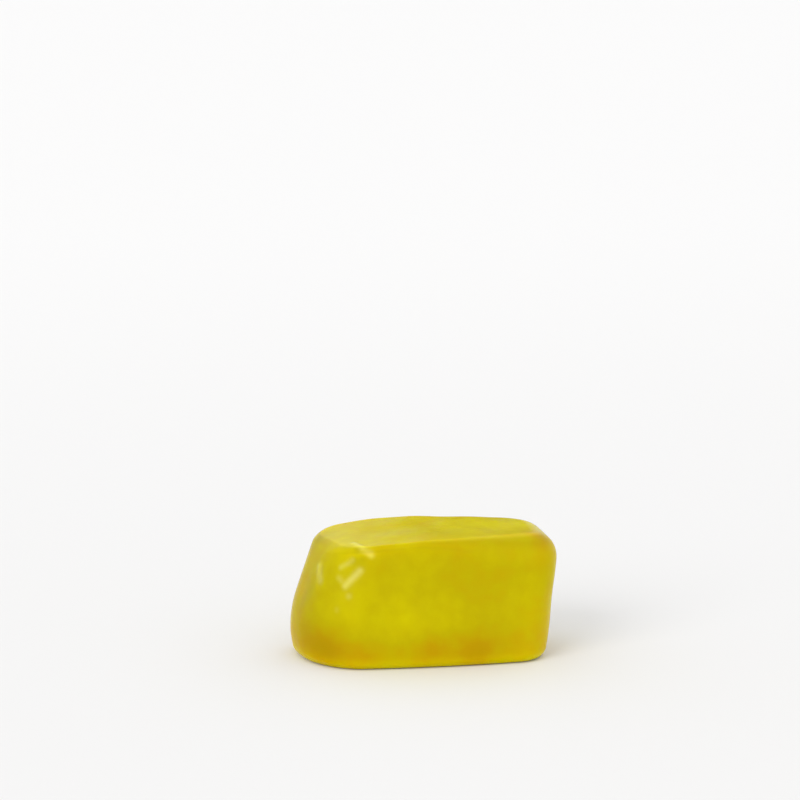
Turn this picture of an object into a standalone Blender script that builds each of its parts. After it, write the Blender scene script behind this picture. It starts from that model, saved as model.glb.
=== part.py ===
# A jelly candy out of its wrapper: one soft block of jelly with rounded edges.
#
# Metres, +Z up. The block lies on z = 0 with the middle of its outline over the
# origin, its length along X and its front towards -Y. Its left end leans in, bellies
# out and is turned a little to the front, its right end leans out, its front bows out,
# and the closed ends of the wrapper have pressed shallow hollows into both ends.

import bmesh
import bpy
import numpy as np

# Driving dimensions: the box that just holds the block
LENGTH = 0.0343
WIDTH = 0.0161
HEIGHT = 0.01695

# How far inside that box the smooth block lies
LEFT_FOOT = 0.00085  # the ends, at the base and at the top
LEFT_TOP = 0.00485
RIGHT_FOOT = 0.00135
RIGHT_TOP = -0.0002  # below zero where a round edge takes it back in
LEFT_BELLY = 0.00205  # how far each end swells out half way up
RIGHT_BELLY = 0.0002
LEFT_TURN = 0.0013  # how far the left end is further in at the front and out at the back
FRONT_LEFT = 0.00155  # the long sides, at the left and at the right end
FRONT_RIGHT = 0.0009
BACK_LEFT = 0.0005
BACK_RIGHT = -0.0001
FRONT_BOW = 0.0012  # how far the front bows out between its ends
DROP_LEFT = 0.0021  # how much lower the top is at each end
DROP_RIGHT = 0.0003

# Radii of the soft edges and of the upright corners
TOP_EDGE_LEFT = 0.0009
TOP_EDGE_RIGHT = 0.0035
TOP_EDGE_GROWS = (-0.004, 0.014)  # x between which the top edge changes
BASE_EDGE = 0.00135
CORNERS = {  # at the base and at the top
    ("left", "front"): (0.0062, 0.0028),
    ("left", "back"): (0.0068, 0.0033),
    ("right", "front"): (0.0043, 0.0043),
    ("right", "back"): (0.0060, 0.0060),
}
CORNERS_TIGHTEN = 8  # the power of the height with which a corner changes, so near the top

# Hollows pressed into the ends. Each has its place as shares of the box, from -1 to 1
# across and from 0 to 1 up, then its reach and its depth.
HOLLOWS = (
    ((-0.93, 0.12, 0.52), 0.0034, 0.00030),
    ((-0.80, 0.74, 0.64), 0.0028, 0.00026),
    ((0.98, -0.14, 0.55), 0.0034, 0.00032),
    ((0.92, 0.62, 0.70), 0.0026, 0.00026),
)

# The grid of the block: how many faces along each direction, and how strongly the
# grid lines crowd towards the edges, where the surface bends (radians, under pi/2)
FACES_ALONG = {"X": 34, "Y": 20, "Z": 20}
CROWDING = 1.25

BISECTIONS = 40
SLOPE_STEP = 1e-6  # step in metres used to find which way the surface faces

NAME = "jelly"
JELLY_COLOUR = (0.55, 0.45, 0.006, 1.0)
JELLY_ROUGHNESS = 0.3

HALF_BOX = np.array((LENGTH, WIDTH, HEIGHT)) / 2
MIDDLE = np.array((0, 0, HEIGHT / 2))


def clear_scene():
    for item in list(bpy.data.objects):
        bpy.data.objects.remove(item, do_unlink=True)


def rounded_edge(first, second, radius):
    """How far a point is outside two faces at once, with their shared edge rounded."""
    inside = np.minimum(np.maximum(first, second), -radius)
    over_first = np.maximum(first + radius, 0)
    over_second = np.maximum(second + radius, 0)
    return inside + np.hypot(over_first, over_second)


def outside_ends(x, y, up):
    """How far a point is outside the ends, which lean with height and swell half way up."""
    swell = 4 * up * (1 - up)
    left = LEFT_FOOT + (LEFT_TOP - LEFT_FOOT) * up - LEFT_BELLY * swell
    left = left - LEFT_TURN * 2 * y / WIDTH
    right = RIGHT_FOOT + (RIGHT_TOP - RIGHT_FOOT) * up - RIGHT_BELLY * swell
    return np.maximum(left - LENGTH / 2 - x, x + right - LENGTH / 2)


def outside_long_sides(y, along):
    """How far y is outside the front and the back, and whether the front is nearer."""
    bow = FRONT_BOW * 4 * along * (1 - along)
    front = FRONT_LEFT + (FRONT_RIGHT - FRONT_LEFT) * along - bow - WIDTH / 2
    back = WIDTH / 2 - BACK_LEFT - (BACK_RIGHT - BACK_LEFT) * along
    middle = (front + back) / 2
    return np.abs(y - middle) - (back - front) / 2, y < middle


def top_edge(x):
    """Radius of the edge round the top, which grows smoothly from left to right."""
    start, end = TOP_EDGE_GROWS
    grown = np.clip((x - start) / (end - start), 0, 1)
    return TOP_EDGE_LEFT + (TOP_EDGE_RIGHT - TOP_EDGE_LEFT) * grown**2 * (3 - 2 * grown)


def upright_corner(x, in_front, up):
    """Radius of the upright corner nearest to each point, which changes with height."""
    radius = np.zeros(len(x))
    change = np.clip(up, 0, 1) ** CORNERS_TIGHTEN
    for (end, side), (foot, top) in CORNERS.items():
        here = ((x < 0) == (end == "left")) & (in_front == (side == "front"))
        radius = np.where(here, foot + (top - foot) * change, radius)
    return radius


def outside_block(points):
    """Below zero inside the smooth block, zero on its surface and above zero outside."""
    x, y, z = points.T
    along = np.clip(x / LENGTH + 0.5, 0, 1)
    sides, in_front = outside_long_sides(y, along)
    up = z / HEIGHT
    walls = rounded_edge(outside_ends(x, y, up), sides, upright_corner(x, in_front, up))
    top = z - HEIGHT + np.where(x < 0, DROP_LEFT, DROP_RIGHT) * (2 * along - 1) ** 2
    return rounded_edge(rounded_edge(walls, top, top_edge(x)), -z, BASE_EDGE)


def onto_surface(rays):
    """Where each ray from the middle of the block leaves it, found by halving."""
    near = np.zeros(len(rays))
    far = np.full(len(rays), LENGTH)
    for _ in range(BISECTIONS):
        half = (near + far) / 2
        inside = outside_block(MIDDLE + rays * half[:, None]) < 0
        near = np.where(inside, half, near)
        far = np.where(inside, far, half)
    return MIDDLE + rays * ((near + far) / 2)[:, None]


def facing(points):
    """The outward direction of the smooth surface at each point, from its slope."""
    slope = np.empty_like(points)
    for axis, step in enumerate(np.eye(3) * SLOPE_STEP):
        slope[:, axis] = outside_block(points + step) - outside_block(points - step)
    return slope / np.linalg.norm(slope, axis=1, keepdims=True)


def on_block(share):
    """Sends a place given in shares of the box from the middle out to the surface."""
    ray = np.array((share[0], share[1], 2 * share[2] - 1)) * HALF_BOX
    return onto_surface(ray[None] / np.linalg.norm(ray))[0]


def pressed_in(points):
    """How deep each point is pressed in: round hollows that fade out like a bell."""
    depth = np.zeros(len(points))
    for share, reach, deepest in HOLLOWS:
        distance = np.linalg.norm(points - on_block(share), axis=1)
        depth += deepest * np.exp(-((distance / reach) ** 2))
    above_base = np.clip(points[:, 2] / BASE_EDGE - 1, 0, 1)
    return depth * above_base


def stretched_to_box(points):
    """Stretches the points by a hair, so that they just fill the box on the base."""
    low, high = points.min(0), points.max(0)
    share = 2 * (points - low) / (high - low) - 1
    return MIDDLE + share * HALF_BOX


def crowded(share):
    """Moves grid lines from -1 to 1 closer together towards both ends."""
    return np.sin(CROWDING * share) / np.sin(CROWDING)


def grid_cube():
    """A cube from -1 to 1 cut into rectangular faces, as many each way as named."""
    mesh = bmesh.new()
    bmesh.ops.create_cube(mesh, size=2)
    for axis, name in enumerate("XYZ"):
        along = [
            edge
            for edge in mesh.edges
            if abs(edge.verts[0].co[axis] - edge.verts[1].co[axis]) > 1
        ]
        bmesh.ops.subdivide_edges(
            mesh, edges=along, cuts=FACES_ALONG[name] - 1, use_grid_fill=True
        )
    return mesh


def jelly_material():
    material = bpy.data.materials.new("translucent_jelly")
    material.use_nodes = True
    shader = material.node_tree.nodes["Principled BSDF"]
    shader.inputs["Base Color"].default_value = JELLY_COLOUR
    shader.inputs["Roughness"].default_value = JELLY_ROUGHNESS
    shader.inputs["Metallic"].default_value = 0.0
    material.diffuse_color = JELLY_COLOUR
    return material


def make_block(collection):
    """Pushes a gridded cube out onto the surface of the block and presses the hollows in."""
    cube = grid_cube()
    corners = np.array([vertex.co for vertex in cube.verts])
    rays = crowded(corners) * HALF_BOX
    rays /= np.linalg.norm(rays, axis=1, keepdims=True)
    points = onto_surface(rays)
    points -= facing(points) * pressed_in(points)[:, None]
    points = stretched_to_box(points)
    points[:, 2] = np.where(points[:, 2] < SLOPE_STEP, 0, points[:, 2])
    for vertex, point in zip(cube.verts, points):
        vertex.co = point
    bmesh.ops.recalc_face_normals(cube, faces=cube.faces)

    mesh = bpy.data.meshes.new(NAME)
    cube.to_mesh(mesh)
    cube.free()
    mesh.materials.append(jelly_material())
    mesh.shade_smooth()
    block = bpy.data.objects.new(NAME, mesh)
    collection.objects.link(block)
    return block


clear_scene()
candy = bpy.data.collections.new("jelly_candy")
bpy.context.scene.collection.children.link(candy)
make_block(candy)
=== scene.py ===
# A jelly candy out of its wrapper, set up for its picture: the fine surface of the block with
# the marks of the wrapper, the jelly it is made of, and a pale table in soft light.
import math

import bpy
import numpy as np
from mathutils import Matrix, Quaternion, Vector


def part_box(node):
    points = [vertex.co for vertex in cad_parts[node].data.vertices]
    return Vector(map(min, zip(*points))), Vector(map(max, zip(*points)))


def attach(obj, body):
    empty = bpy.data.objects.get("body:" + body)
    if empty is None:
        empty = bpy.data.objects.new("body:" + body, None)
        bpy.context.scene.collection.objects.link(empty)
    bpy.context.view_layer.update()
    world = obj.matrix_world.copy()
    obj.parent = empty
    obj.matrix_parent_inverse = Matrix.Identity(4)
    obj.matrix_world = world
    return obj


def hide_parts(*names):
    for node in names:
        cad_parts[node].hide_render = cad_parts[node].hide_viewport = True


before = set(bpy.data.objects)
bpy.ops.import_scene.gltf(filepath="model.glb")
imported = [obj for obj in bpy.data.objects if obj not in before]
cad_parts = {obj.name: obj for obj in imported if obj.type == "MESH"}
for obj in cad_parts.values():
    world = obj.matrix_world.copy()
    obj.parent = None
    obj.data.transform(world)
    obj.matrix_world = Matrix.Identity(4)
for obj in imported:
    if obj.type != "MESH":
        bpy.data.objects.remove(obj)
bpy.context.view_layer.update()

blockLow, blockHigh = (np.array(corner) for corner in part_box("jelly"))
blockMiddle = (blockLow + blockHigh) / 2
print("frame: the block is", np.round((blockHigh - blockLow) * 1000, 2), "mm")

# metres, measured inwards from the frame's box, seen from the front: the left end leans in,
# bellies out and is turned a little to the front, the right end leans out, and the front bows
# towards the camera
block = {
    "leftFoot": 0.00085,                  # the ends, at the base and at the top
    "leftTop": 0.00485,
    "rightFoot": 0.00135,
    "rightTop": -0.0002,                  # below zero where a round edge takes it back in
    "leftBelly": 0.00205,                 # how far each end swells out half way up
    "rightBelly": 0.0002,
    "leftTurn": 0.0013,                   # how far the left end is in at the front, out at the back
    "frontLeft": 0.00155,                 # the long sides, at the left and at the right end
    "frontRight": 0.0009,
    "backLeft": 0.0005,
    "backRight": -0.0001,
    "frontBow": 0.0012,                   # how far the front bows out half way along
    "dropLeft": 0.0021,                   # how much lower the top is at each end
    "dropRight": 0.0003,
    "topEdge": (0.0009, 0.0035),          # radius of the edge round the top, left and right
    "topEdgeGrows": (-0.004, 0.014),      # x between which it changes
    "baseEdge": 0.00135,                  # and round the base
    "cornerFrontLeft": (0.0062, 0.0028),  # of the upright corners, at the base and at the top
    "cornerBackLeft": (0.0068, 0.0033),
    "cornerFrontRight": (0.0043, 0.0043),
    "cornerBackRight": (0.0060, 0.0060),
    "cornersTighten": 8,                  # power of the height by which they change, near the top
    "faces": (208, 92, 96),               # grid faces along x, y and z
    "crowding": 1.2,                      # how much grid lines gather at the edges, under pi/2
    "lean": (-0.28, -0.22, 0.15),         # and towards the marks at the left, front and top
    "halvings": 40,                       # of the stretch of a ray that holds the surface
    "slopeStep": 1e-6,                    # step by which the slope of the distance is found
}


# part of the way from the first value to the last: first + (last - first) * share
def between(first, last, share):
    return first + (last - first) * share


# the larger of two distances, with a quarter circle of this radius where both are near zero
def roundedEdge(first, second, radius):
    inside = np.minimum(np.maximum(first, second), -radius)
    return inside + np.hypot(np.maximum(first + radius, 0), np.maximum(second + radius, 0))


# distance outside the two ends: each leans with the height and swells as a parabola, and the
# left one leans with the width too
def outsideEnds(x, y, up, shape):
    swell = 4 * up * (1 - up)
    left = between(shape["leftFoot"], shape["leftTop"], up) - shape["leftBelly"] * swell
    left = left - shape["leftTurn"] * y / blockHigh[1]
    right = between(shape["rightFoot"], shape["rightTop"], up) - shape["rightBelly"] * swell
    return np.maximum(blockLow[0] + left - x, x - blockHigh[0] + right)


# distance outside the front and the back, and whether the front is the nearer one: straight
# lines along the length, and the front bows out as a parabola
def outsideLongSides(y, along, shape):
    bow = shape["frontBow"] * 4 * along * (1 - along)
    frontChange = shape["frontRight"] - shape["frontLeft"]
    backChange = shape["backRight"] - shape["backLeft"]
    front = blockLow[1] + shape["frontLeft"] + frontChange * along - bow
    back = blockHigh[1] - shape["backLeft"] - backChange * along
    middle = (front + back) / 2
    return np.abs(y - middle) - (back - front) / 2, y < middle


# radius of the upright corner nearest to each point, between its radius at the base and at the
# top by a power of the height
def uprightCorner(x, inFront, up, shape):
    change = np.clip(up, 0, 1) ** shape["cornersTighten"]
    nearest = [(x < 0) & inFront, x < 0, inFront]
    names = ("cornerFrontLeft", "cornerBackLeft", "cornerFrontRight", "cornerBackRight")
    radii = [between(*shape[name], change) for name in names]
    return np.select(nearest, radii[:3], radii[3])


# how far the edge round the top has grown from its left to its right radius: 3 t squared
# minus 2 t cubed, where t goes from 0 to 1 along x
def edgeGrowth(x, shape):
    start, end = shape["topEdgeGrows"]
    along = np.clip((x - start) / (end - start), 0, 1)
    return along ** 2 * (3 - 2 * along)


# distance outside the block: the ends and the long sides make the walls, and the walls, the
# top, which drops towards each end as a parabola, and the flat base meet in rounded edges
def outsideBlock(points, shape):
    x, y, z = points.T
    along = np.clip((x - blockLow[0]) / (blockHigh[0] - blockLow[0]), 0, 1)
    up = z / blockHigh[2]
    ends = outsideEnds(x, y, up, shape)
    sides, inFront = outsideLongSides(y, along, shape)
    walls = roundedEdge(ends, sides, uprightCorner(x, inFront, up, shape))
    drop = np.where(x < 0, shape["dropLeft"], shape["dropRight"])
    top = z - blockHigh[2] + drop * (2 * along - 1) ** 2
    topEdge = between(*shape["topEdge"], edgeGrowth(x, shape))
    return roundedEdge(roundedEdge(walls, top, topEdge), -z, shape["baseEdge"])


# where each ray from the middle of the block leaves it: the stretch that holds the surface
# is halved again and again
def rayToSurface(rays, shape):
    near = np.zeros(len(rays))
    far = np.full(len(rays), blockHigh[0] - blockLow[0])
    for _ in range(shape["halvings"]):
        half = (near + far) / 2
        inside = outsideBlock(blockMiddle + rays * half[:, None], shape) < 0
        near, far = np.where(inside, half, near), np.where(inside, far, half)
    return blockMiddle + rays * ((near + far) / 2)[:, None]


# unit vector along the slope of the distance, by a small step each way on each axis
def surfaceNormals(points, shape):
    steps = np.eye(3) * shape["slopeStep"]
    slope = np.stack([outsideBlock(points + step, shape) - outsideBlock(points - step, shape)
                      for step in steps], 1)
    return slope / np.linalg.norm(slope, axis=1, keepdims=True)


# a place given in shares of the frame's box, from -1 to 1 across and from 0 to 1 up, sent
# from the middle of the block out to its surface
def onBlock(share, shape):
    ray = np.array(share) * blockHigh - blockMiddle
    return rayToSurface(ray[None] / np.linalg.norm(ray), shape)[0]


# six rectangular grids in two parameters that close into a box from -1 to 1; corners that
# share a place on the whole-number lattice become one vertex
def boxGrid(faces):
    lattice, quads, start = [], [], 0
    for axis in range(3):
        first, second = [other for other in range(3) if other != axis]
        lines = np.arange(faces[first] + 1), np.arange(faces[second] + 1)
        for side in (0, faces[axis]):
            u, v = np.meshgrid(*lines, indexing="ij")
            places = np.empty((u.size, 3), int)
            places[:, first], places[:, second], places[:, axis] = u.ravel(), v.ravel(), side
            index = np.arange(u.size).reshape(u.shape) + start
            ring = (index[:-1, :-1], index[1:, :-1], index[1:, 1:], index[:-1, 1:])
            faceQuads = np.stack(ring, -1).reshape(-1, 4)
            outward = (side > 0) == (axis != 1)      # x with z turns the other way round
            quads.append(faceQuads if outward else faceQuads[:, ::-1])
            lattice.append(places)
            start += u.size
    places, shared = np.unique(np.concatenate(lattice), axis=0, return_inverse=True)
    return places / np.array(faces) * 2 - 1, shared.reshape(-1)[np.concatenate(quads)]


# marks on the block, placed in shares of the frame's box, with their sizes in metres.
# Round hollows: middle, reach and depth
hollows = (
    ((-0.93, 0.12, 0.52), 0.0034, 0.00030),
    ((-0.80, 0.74, 0.64), 0.0028, 0.00026),
    ((0.98, -0.14, 0.55), 0.0034, 0.00032),
    ((0.92, 0.62, 0.70), 0.0026, 0.00026),
)

# small flat facets where the wrapper was pressed on: the places they run through, half width,
# and the share by which they turn back to the way the smooth surface faces
facets = (
    (((-0.721, -0.688, 0.713), (-0.678, -0.784, 0.663), (-0.571, -0.873, 0.799)), 0.00058, 0.00),
    (((-0.698, -0.683, 0.794), (-0.625, -0.788, 0.859)), 0.00042, 0.12),
    (((-0.587, -0.480, 0.957), (-0.552, -0.822, 0.956), (-0.497, -0.926, 0.911)), 0.00045, 0.30),
    (((-0.827, -0.280, 0.770), (-0.841, -0.430, 0.650)), 0.00055, 0.15),
    (((-0.657, -0.835, 0.591), (-0.656, -0.837, 0.583)), 0.00042, 0.12),
    (((-0.740, -0.756, 0.477), (-0.740, -0.757, 0.471)), 0.00036, 0.18),
)

# painted highlights: strokes painted in a pale colour on the wrapper's marks: places, half width
# and share of the pale colour
paintedHighlights = (
    (((-0.721, -0.688, 0.713), (-0.678, -0.784, 0.663)), 0.00038, 0.22),
    (((-0.678, -0.784, 0.663), (-0.580, -0.865, 0.785)), 0.00046, 0.62),
    (((-0.703, -0.676, 0.794), (-0.630, -0.780, 0.862)), 0.00036, 0.30),
    (((-0.587, -0.480, 0.957), (-0.552, -0.822, 0.956)), 0.00042, 0.50),
    (((-0.552, -0.822, 0.956), (-0.497, -0.926, 0.911)), 0.00040, 0.40),
    (((-0.830, -0.290, 0.765), (-0.840, -0.410, 0.670)), 0.00050, 0.50),
    (((-0.657, -0.835, 0.591), (-0.656, -0.837, 0.583)), 0.00040, 0.25),
    (((-0.740, -0.756, 0.477), (-0.740, -0.757, 0.471)), 0.00036, 0.14),
)

# creases beside them, darkened with painted shade: places, half width, depth and how much darker
creases = (
    (((-0.616, -0.802, 0.838), (-0.560, -0.868, 0.870)), 0.00055, 0.00003, 0.10),
    (((-0.601, -0.768, 0.944), (-0.592, -0.790, 0.938)), 0.00045, 0.00003, 0.14),
    (((-0.954, -0.083, 0.468), (-0.902, -0.264, 0.575)), 0.00100, 0.00003, 0.05),
)

relief = {
    "facing": (-0.47, -0.83, 0.30),       # the way the facets face
    "facetLimit": 0.00012,                # how far a facet can rise or sink, in metres
    "steepest": 0.3,                      # least cosine between a facet and the smooth surface
    "waves": 26,                          # plane waves in the slow unevenness of the surface
    "waveLength": (0.0045, 0.0120),
    "waveHeight": 0.000012,
    "seed": 11,
}


# a bell: e to the minus (distance / reach) squared
def bell(distance, reach):
    return np.exp(-(distance / reach) ** 2)


# a bell of the distance to one place on the block
def bellAt(points, share, reach, shape):
    return bell(np.linalg.norm(points - onBlock(share, shape), axis=1), reach)


# a bell of the distance to a path over the block, which is that to its nearest straight
# stretch: along a stretch the nearest place is clipped to its ends
def bellAlong(points, path, halfWidth, shape):
    places = [onBlock(share, shape) for share in path]
    distance = np.full(len(points), np.inf)
    for start, end in zip(places, places[1:]):
        along = end - start
        nearest = np.clip((points - start) @ along / (along @ along), 0, 1)
        away = points - start - nearest[:, None] * along
        distance = np.minimum(distance, np.linalg.norm(away, axis=1))
    return bell(distance, halfWidth)


# depth of the hollows: the sum of their bells
def hollowDepth(points, shape):
    return sum(deepest * bellAt(points, share, reach, shape) for share, reach, deepest in hollows)


# height of the facets: the distance along the normal to a plane through the middle of each,
# held back by a hyperbolic tangent and faded by a bell along its path
def facetHeight(points, normals, shape, settings):
    limit = settings["facetLimit"]
    height = np.zeros(len(points))
    for path, halfWidth, turn in facets:
        middle = onBlock(np.mean(path, axis=0), shape)
        smooth = surfaceNormals(middle[None], shape)[0]
        facing = np.array(settings["facing"]) * (1 - turn) + smooth * turn
        cosine = np.clip(normals @ facing, settings["steepest"], 1)
        rise = -((points - middle) @ facing) / cosine
        height += limit * np.tanh(rise / limit) * bellAlong(points, path, halfWidth, shape)
    return height


# height, painted highlight and painted shade of the finer marks: the facets, the creases and a sum
# of plane cosine waves in random directions for the height, and the largest bell for the other two
def wrapperMarks(points, normals, shape, settings):
    height = facetHeight(points, normals, shape, settings)
    paintedHighlight, shade = np.zeros((2, len(points)))
    # painted highlights along the strokes
    for path, halfWidth, share in paintedHighlights:
        paintedHighlight = np.maximum(paintedHighlight, share * bellAlong(points, path, halfWidth, shape))
    # the creases are sunk and darkened with painted shade
    for path, halfWidth, deepest, darker in creases:
        crease = bellAlong(points, path, halfWidth, shape)
        height -= deepest * crease
        shade = np.maximum(shade, darker * crease)
    random = np.random.default_rng(settings["seed"])
    for _ in range(settings["waves"]):
        wave = random.normal(size=3)
        wave *= math.tau / random.uniform(*settings["waveLength"]) / np.linalg.norm(wave)
        start = random.uniform(0, math.tau)
        height += settings["waveHeight"] * np.cos(points @ wave + start)
    return height, paintedHighlight, shade


# tone of the jelly, -1 amber, 0 the body colour and 1 clear, and its painted light, the share by
# which it is painted brighter or darker than its colour: both paint light and shade on the jelly
depth = {
    # by the height above the table, in metres: middle and reach of a bell, and what it adds;
    # amber painted shade low on the block and painted light at the foot
    "paintedAmberShade": (0.0026, 0.0024, -0.80),
    "paintedBaseLight": (0.0, 0.0012, 0.23),
    # by how far the surface faces up, 0 on a wall and 1 where it is level: the same
    "paintedEdgeShade": (0.80, 0.25, -0.13),      # painted shade along the edge round the top
    "paintedUnderEdgeShade": (0.35, 0.22, -0.13),  # painted shade just under it, where the edge is sharp
    # and painted light on the top itself: where the rise to it starts, how long it is, and what it
    # adds
    "paintedTopLight": (0.90, 0.08, 0.14),
    # softer zones of painted light and shade: place in shares of the frame's box, reach in metres,
    # tone and painted light
    "zones": (
        ((-0.18, -0.97, 0.39), 0.0045, 0.65, 0.03),
        ((-0.66, -0.82, 0.50), 0.0050, 0.50, -0.01),
        ((0.22, -1.00, 0.80), 0.0035, -0.20, 0.00),
        ((0.62, -0.91, 0.88), 0.0020, 0.30, 0.00),
        ((-0.69, -0.71, 0.86), 0.0026, 0.30, -0.02),
        ((-0.82, -0.25, 0.78), 0.0028, 0.00, -0.04),
        ((-0.80, -0.05, 0.87), 0.0015, -0.20, -0.05),
        ((0.87, -0.75, 0.90), 0.0020, -0.35, -0.03),
        ((-0.32, -0.97, 0.09), 0.0030, 0.28, 0.00),
        ((0.30, -1.00, 0.07), 0.0024, -0.25, -0.03),
        ((-0.79, -0.69, 0.10), 0.0022, 0.00, -0.05),
        ((0.64, -0.95, 0.83), 0.0022, -0.25, 0.00),
        ((0.72, -0.95, 0.50), 0.0030, 0.00, 0.04),
        ((-0.10, -0.99, 0.62), 0.0024, -0.15, -0.02),
        ((-0.97, -0.20, 0.20), 0.0030, 0.00, -0.10),
        ((-0.98, 0.00, 0.40), 0.0062, -0.40, -0.20),
        ((-0.80, 0.35, 0.90), 0.0020, 0.00, -0.22),
        ((0.84, -0.50, 0.98), 0.0018, -0.70, -0.06),
        ((-0.94, 0.08, 0.54), 0.0014, -0.20, 0.10),
        ((-0.85, -0.62, 0.12), 0.0035, -0.40, -0.14),
        ((-0.02, -0.99, 0.17), 0.0018, -0.40, -0.03),
        ((0.33, -1.00, 0.11), 0.0020, -0.50, -0.05),
        ((0.97, -0.45, 0.35), 0.0045, -0.40, 0.08),
        ((0.80, -0.93, 0.15), 0.0035, 0.25, 0.07),
        ((-0.64, -0.60, 0.95), 0.0010, 0.00, -0.08),
    ),
}


# tone and painted light at each point: amber painted shade and painted light at the foot in bells
# over the height near the base, painted shade in two bells where the surface turns from upright to
# level, painted light in a straight rise to the level top, and a round bell of painted light and
# shade for each zone, added up
def toneAndPaintedLight(points, normals, shape, settings):
    height, upward = points[:, 2], normals[:, 2]
    sharp = 1 - edgeGrowth(points[:, 0], shape)
    # amber painted shade low on the block
    middle, reach, paintedAmber = settings["paintedAmberShade"]
    toneAndShade = paintedAmber * bell(height - middle, reach)
    # painted light along the foot
    middle, reach, added = settings["paintedBaseLight"]
    paintedLight = added * bell(height - middle, reach)
    # painted shade where the surface turns from upright to level
    middle, reach, added = settings["paintedEdgeShade"]
    paintedLight += added * bell(upward - middle, reach)
    middle, reach, added = settings["paintedUnderEdgeShade"]
    paintedLight += added * sharp * bell(upward - middle, reach)
    # painted light on the level top
    start, length, added = settings["paintedTopLight"]
    paintedLight += added * np.clip((upward - start) / length, 0, 1)
    # zones of painted light and shade
    for share, reach, paintedZoneTone, paintedZoneLight in settings["zones"]:
        zone = bellAt(points, share, reach, shape)
        toneAndShade += paintedZoneTone * zone
        paintedLight += paintedZoneLight * zone
    return toneAndShade, 1 + paintedLight


# the closed surface of the block: the lines of a box grid are moved by a parabola and gathered
# at the edges by a sine, rays through them are sent to the surface and the hollows pressed in,
# the points are stretched by a hair to the frame's box, and the finer marks are added along
# the normals
def makeBlock(shape, settings, shadingSettings):
    grid, quads = boxGrid(shape["faces"])
    crowded = grid - np.array(shape["lean"]) * (grid ** 2 - 1)
    rays = np.sin(shape["crowding"] * crowded) * (blockHigh - blockLow) / 2
    rays /= np.linalg.norm(rays, axis=1, keepdims=True)
    points = rayToSurface(rays, shape)
    normals = surfaceNormals(points, shape)
    aboveBase = np.clip(points[:, 2] / shape["baseEdge"] - 1, 0, 1)[:, None]
    fine, paintedHighlight, shade = wrapperMarks(points, normals, shape, settings)
    points -= normals * hollowDepth(points, shape)[:, None] * aboveBase
    low, high = points.min(0), points.max(0)
    points = blockLow + (points - low) * (blockHigh - blockLow) / (high - low)
    points += normals * fine[:, None] * aboveBase
    points[:, 2] = np.maximum(points[:, 2], 0)
    # tone and painted light paint light and shade on the jelly; painted shade in the creases dims
    # it
    toneAndShade, paintedLight = toneAndPaintedLight(points, normals, shape, shadingSettings)
    paintedLight *= 1 - shade

    mesh = bpy.data.meshes.new("jellyBlock")
    mesh.from_pydata(points.tolist(), [], quads.tolist())
    mesh.shade_smooth()
    for name, values in (("toneAndShade", toneAndShade), ("paintedLight", paintedLight), ("paintedHighlight", paintedHighlight)):
        attribute = mesh.attributes.new(name, "FLOAT", "POINT")
        attribute.data.foreach_set("value", values.astype(np.float32))
    piece = bpy.data.objects.new("jelly_block", mesh)
    bpy.context.scene.collection.objects.link(piece)
    print("block:", len(points), "vertices,", 2 * len(quads), "triangles")
    return piece


# the sockets of a Mix node that hold its two colours and their mixture; others share the names
mixFirst, mixSecond, mixResult = 6, 7, 2


# a node of this kind at a place in its tree, with any settings by name
def addNode(tree, kind, place, **values):
    node = tree.nodes.new(kind)
    node.location = place
    for name, value in values.items():
        setattr(node, name, value)
    return node


# a noise over Object coordinates, of a scale per metre and a detail
def addNoise(tree, place, coordinates, scale, detail):
    noise = addNode(tree, "ShaderNodeTexNoise", place)
    noise.inputs["Scale"].default_value = scale
    noise.inputs["Detail"].default_value = detail
    tree.links.new(coordinates.outputs["Object"], noise.inputs["Vector"])
    return noise.outputs["Fac"]


# a value carried from one span to another, in a straight line unless told otherwise
def addRange(tree, place, value, span, newSpan=(0.0, 1.0), **values):
    node = addNode(tree, "ShaderNodeMapRange", place, **values)
    for socket, limit in zip(("From Min", "From Max", "To Min", "To Max"), (*span, *newSpan)):
        node.inputs[socket].default_value = limit
    tree.links.new(value, node.inputs["Value"])
    return node.outputs["Result"]


# a colour picked by a value, in straight lines between stops of a value and a colour each
def addRamp(tree, place, value, stops):
    first, last = stops[0][0], stops[-1][0]
    share = addRange(tree, (place[0] - 200, place[1]), value, (first, last))
    ramp = addNode(tree, "ShaderNodeValToRGB", place)
    elements = ramp.color_ramp.elements
    while len(elements) < len(stops):
        elements.new(0.5)
    for element, (stopValue, colour) in zip(elements, stops):
        element.position = (stopValue - first) / (last - first)
        element.color = colour
    tree.links.new(share, ramp.inputs["Fac"])
    return ramp.outputs["Color"]


jelly = {
    "tones": (                            # tone and linear colour
        (-1.0, (0.548, 0.354, 0.0, 1.0)),
        (0.0, (0.536, 0.446, 0.0, 1.0)),
        (1.0, (0.626, 0.555, 0.0, 1.0)),
    ),
    "paintedHighlight": (0.760, 0.700, 0.160, 1.0),   # painted highlight colour, on the wrapper's marks
    "clouds": (150.0, 2.0),               # slow clouds: scale per metre and detail
    "cloudTone": 0.5,                     # change of tone from the darkest to the palest of them
    "fineClouds": (620.0, 3.0),           # finer ones, in the tone and in the sheen
    "fineTone": 0.34,
    "noiseSpan": (0.3, 0.7),              # the values that nearly all of the noise lies between
    "roughness": (0.16, 0.30),            # for the finer clouds from 0 to 1
    "skin": (1500.0, 3.0),                # the fine skin: scale per metre and detail
    "skinBump": 0.00004,                  # its height in metres
    "subsurface": 1.0,
    "reach": (1.0, 0.75, 0.08),           # how far red, green and blue travel, in shares
    "reachScale": 0.004,                  # of this many metres
    "specular": 0.05,
}
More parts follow.
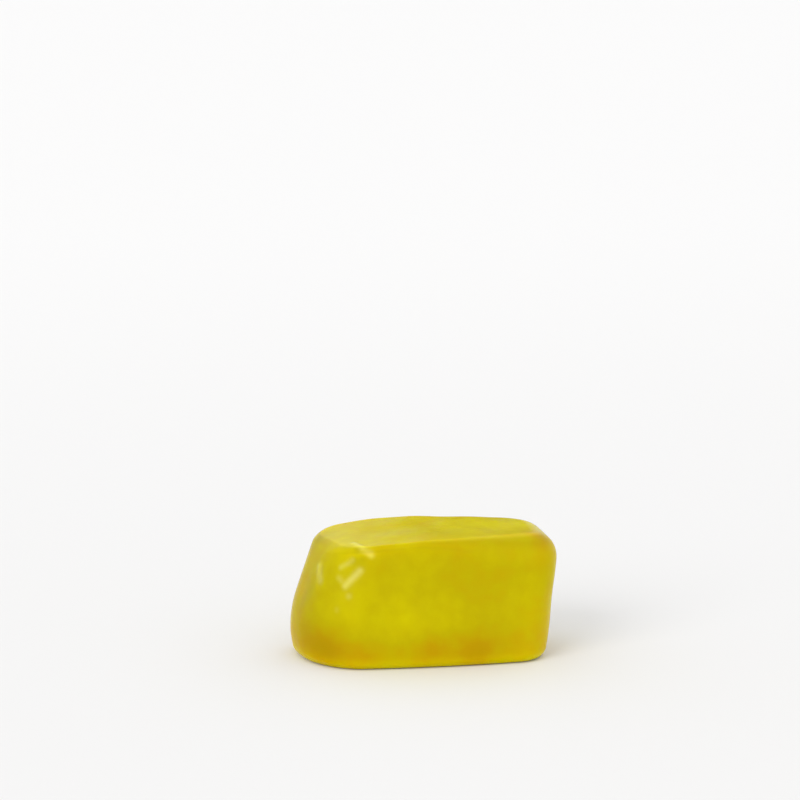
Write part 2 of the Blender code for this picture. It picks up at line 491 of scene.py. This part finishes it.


# jelly: the tone of the surface, which carries painted shade, plus slow and finer clouds picks a
# colour from the ramp, which is mixed with the pale colour of the painted highlights and multiplied
# by the painted light; roughness follows the finer clouds, and a fine skin lifts the surface
def jellyMaterial(finish):
    material = bpy.data.materials.new("jelly_translucent")
    material.use_nodes = True
    tree = material.node_tree
    shader = tree.nodes["Principled BSDF"]
    link = tree.links.new

    coordinates = addNode(tree, "ShaderNodeTexCoord", (-1500, 0))
    clouds = addNoise(tree, (-1200, 300), coordinates, *finish["clouds"])
    fineClouds = addNoise(tree, (-1200, 0), coordinates, *finish["fineClouds"])
    skin = addNoise(tree, (-1200, -300), coordinates, *finish["skin"])

    # the tone attribute carries painted shade and painted light
    toneAndShade = addNode(tree, "ShaderNodeAttribute", (-950, 560), attribute_name="toneAndShade")
    allTones = toneAndShade.outputs["Fac"]
    noises = ((clouds, finish["cloudTone"], 300), (fineClouds, finish["fineTone"], 60))
    for noise, amount, height in noises:
        eitherWay = (-amount / 2, amount / 2)
        noiseTone = addRange(tree, (-950, height), noise, finish["noiseSpan"], eitherWay)
        added = addNode(tree, "ShaderNodeMath", (-720, height + 120), operation="ADD")
        link(allTones, added.inputs[0])
        link(noiseTone, added.inputs[1])
        allTones = added.outputs["Value"]
    colour = addRamp(tree, (-340, 400), allTones, finish["tones"])

    # the pale colour paints highlights on the wrapper's marks
    paintedHighlight = addNode(tree, "ShaderNodeAttribute", (-340, 860), attribute_name="paintedHighlight")
    highlighted = addNode(tree, "ShaderNodeMix", (-60, 640), data_type="RGBA")
    highlighted.inputs[mixSecond].default_value = finish["paintedHighlight"]
    link(paintedHighlight.outputs["Fac"], highlighted.inputs["Factor"])
    link(colour, highlighted.inputs[mixFirst])
    # painted light: scales the colour brighter or darker where light or shade falls
    paintedLight = addNode(tree, "ShaderNodeAttribute", (-340, 640), attribute_name="paintedLight")
    brightened = addNode(tree, "ShaderNodeVectorMath", (140, 500), operation="SCALE")
    link(highlighted.outputs[mixResult], brightened.inputs[0])
    link(paintedLight.outputs["Fac"], brightened.inputs["Scale"])
    link(brightened.outputs["Vector"], shader.inputs["Base Color"])

    sheen = addRange(tree, (-700, 0), fineClouds, (0.0, 1.0), finish["roughness"])
    link(sheen, shader.inputs["Roughness"])

    bump = addNode(tree, "ShaderNodeBump", (-450, -300))
    bump.inputs["Distance"].default_value = finish["skinBump"]
    link(skin, bump.inputs["Height"])
    link(bump.outputs["Normal"], shader.inputs["Normal"])

    shader.inputs["Subsurface Weight"].default_value = finish["subsurface"]
    shader.inputs["Subsurface Radius"].default_value = finish["reach"]
    shader.inputs["Subsurface Scale"].default_value = finish["reachScale"]
    shader.inputs["Specular IOR Level"].default_value = finish["specular"]
    print("material: jelly")
    return material


studio = {
    "floorSize": 6.0,
    "floorShadedNear": (0.828, 0.825, 0.823, 1.0),  # colour beside the block, painted a little darker as shade, and far behind it
    "floorFar": (0.862, 0.860, 0.859, 1.0),
    "floorFade": (0.0, 0.4),              # metres behind the block
    "floorRoughness": 0.9,
    "worldStrength": 0.97,
    # a grey strip stands behind the block and is seen in its top: radians to the right of
    # straight back, and how bright it is there
    "strip": ((0.10, 1.0), (0.17, 0.66), (0.22, 0.30), (0.245, 0.06),
              (0.27, 0.06), (0.30, 0.55), (0.36, 1.0)),
    # lamps: name, direction they shine from, angle in degrees and strength
    "lamps": (
        ("window", (-0.66, -0.58, 0.48), 34.0, 1.15),
    ),
}


# a flat pale table: one square whose height above z = 0 is zero everywhere, painted a little darker
# beside the block as shade and paler far behind it
def makeTable(settings):
    half = settings["floorSize"] / 2
    corners = [(-half, -half, 0), (half, -half, 0), (half, half, 0), (-half, half, 0)]
    mesh = bpy.data.meshes.new("table")
    mesh.from_pydata(corners, [], [(0, 1, 2, 3)])
    floor = bpy.data.objects.new("table", mesh)
    bpy.context.scene.collection.objects.link(floor)

    paper = bpy.data.materials.new("table_paper")
    paper.use_nodes = True
    tree = paper.node_tree
    link = tree.links.new
    shader = tree.nodes["Principled BSDF"]
    coordinates = addNode(tree, "ShaderNodeTexCoord", (-900, 0))
    split = addNode(tree, "ShaderNodeSeparateXYZ", (-700, 0))
    link(coordinates.outputs["Object"], split.inputs["Vector"])
    # painted shade: the table darker beside the block
    fade = addRange(tree, (-500, 0), split.outputs["Y"], settings["floorFade"],
                    interpolation_type="SMOOTHSTEP")
    colour = addNode(tree, "ShaderNodeMix", (-250, 0), data_type="RGBA")
    colour.inputs[mixFirst].default_value = settings["floorShadedNear"]
    colour.inputs[mixSecond].default_value = settings["floorFar"]
    link(fade, colour.inputs["Factor"])
    link(colour.outputs[mixResult], shader.inputs["Base Color"])
    shader.inputs["Roughness"].default_value = settings["floorRoughness"]
    shader.inputs["Specular IOR Level"].default_value = 0.0
    mesh.materials.append(paper)
    print("studio: table")


# soft light: an even white world with a grey strip whose brightness follows the angle round
# the upright, and a wide lamp
def makeLights(settings):
    world = bpy.data.worlds.new("studio")
    bpy.context.scene.world = world
    world.use_nodes = True
    tree = world.node_tree
    link = tree.links.new
    background = tree.nodes["Background"]
    coordinates = addNode(tree, "ShaderNodeTexCoord", (-1100, 0))
    split = addNode(tree, "ShaderNodeSeparateXYZ", (-900, 0))
    link(coordinates.outputs["Generated"], split.inputs["Vector"])
    angle = addNode(tree, "ShaderNodeMath", (-700, 0), operation="ARCTAN2")
    link(split.outputs["X"], angle.inputs[0])
    link(split.outputs["Y"], angle.inputs[1])
    greys = [(radians, (grey, grey, grey, 1.0)) for radians, grey in settings["strip"]]
    strip = addRamp(tree, (-300, 0), angle.outputs["Value"], greys)
    link(strip, background.inputs["Color"])
    background.inputs["Strength"].default_value = settings["worldStrength"]

    for name, direction, width, strength in settings["lamps"]:
        lamp = bpy.data.lights.new(name, "SUN")
        lamp.angle = math.radians(width)
        lamp.energy = strength
        holder = bpy.data.objects.new(name, lamp)
        holder.location = direction
        holder.rotation_mode = "QUATERNION"
        holder.rotation_quaternion = Vector(direction).to_track_quat("Z", "Y")
        bpy.context.scene.collection.objects.link(holder)
    print("studio: world, and lamps:", len(settings["lamps"]))


photo = {
    "size": 800,                          # pixels each way
    "blockMiddle": (422.8, 590.6),        # pixel on which the middle of the block lies
    "focal": 3339.0,                      # pixels
    "sensor": 36.0,                       # millimetres
    "distance": 0.44,                     # metres from the middle of the block
    "azimuth": -13.4,                     # degrees
    "elevation": 14.5,
    "roll": 0.9,
    "clip": (0.01, 20.0),                 # metres
}


# the camera stands back from the middle of the block along azimuth and elevation, and is
# turned away from it by the angle that carries the middle to its pixel
def makeCamera(view):
    data = bpy.data.cameras.new("camera")
    data.sensor_width = view["sensor"]
    data.lens = view["focal"] / view["size"] * view["sensor"]
    data.clip_start, data.clip_end = view["clip"]
    camera = bpy.data.objects.new("camera", data)
    azimuth, elevation = math.radians(view["azimuth"]), math.radians(view["elevation"])
    back = Vector((math.sin(azimuth) * math.cos(elevation),
                   -math.cos(azimuth) * math.cos(elevation),
                   math.sin(elevation)))
    acrossPixels = view["blockMiddle"][0] - view["size"] / 2
    downPixels = view["blockMiddle"][1] - view["size"] / 2
    towardsMiddle = Vector((acrossPixels, -downPixels, -view["focal"])).normalized()
    aim = (-back).to_track_quat("-Z", "Y")
    offset = towardsMiddle.rotation_difference(Vector((0, 0, -1)))
    roll = Quaternion((0, 0, 1), math.radians(view["roll"]))
    camera.location = Vector(blockMiddle) + back * view["distance"]
    camera.rotation_mode = "QUATERNION"
    camera.rotation_quaternion = aim @ roll @ offset
    bpy.context.scene.collection.objects.link(camera)
    bpy.context.scene.camera = camera
    print("camera: lens", round(data.lens, 1), "mm")


piece = makeBlock(block, relief, depth)
piece.data.materials.append(jellyMaterial(jelly))
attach(piece, "root")
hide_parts("jelly")
makeTable(studio)
makeLights(studio)
makeCamera(photo)
bpy.context.scene.view_settings.view_transform = "Standard"
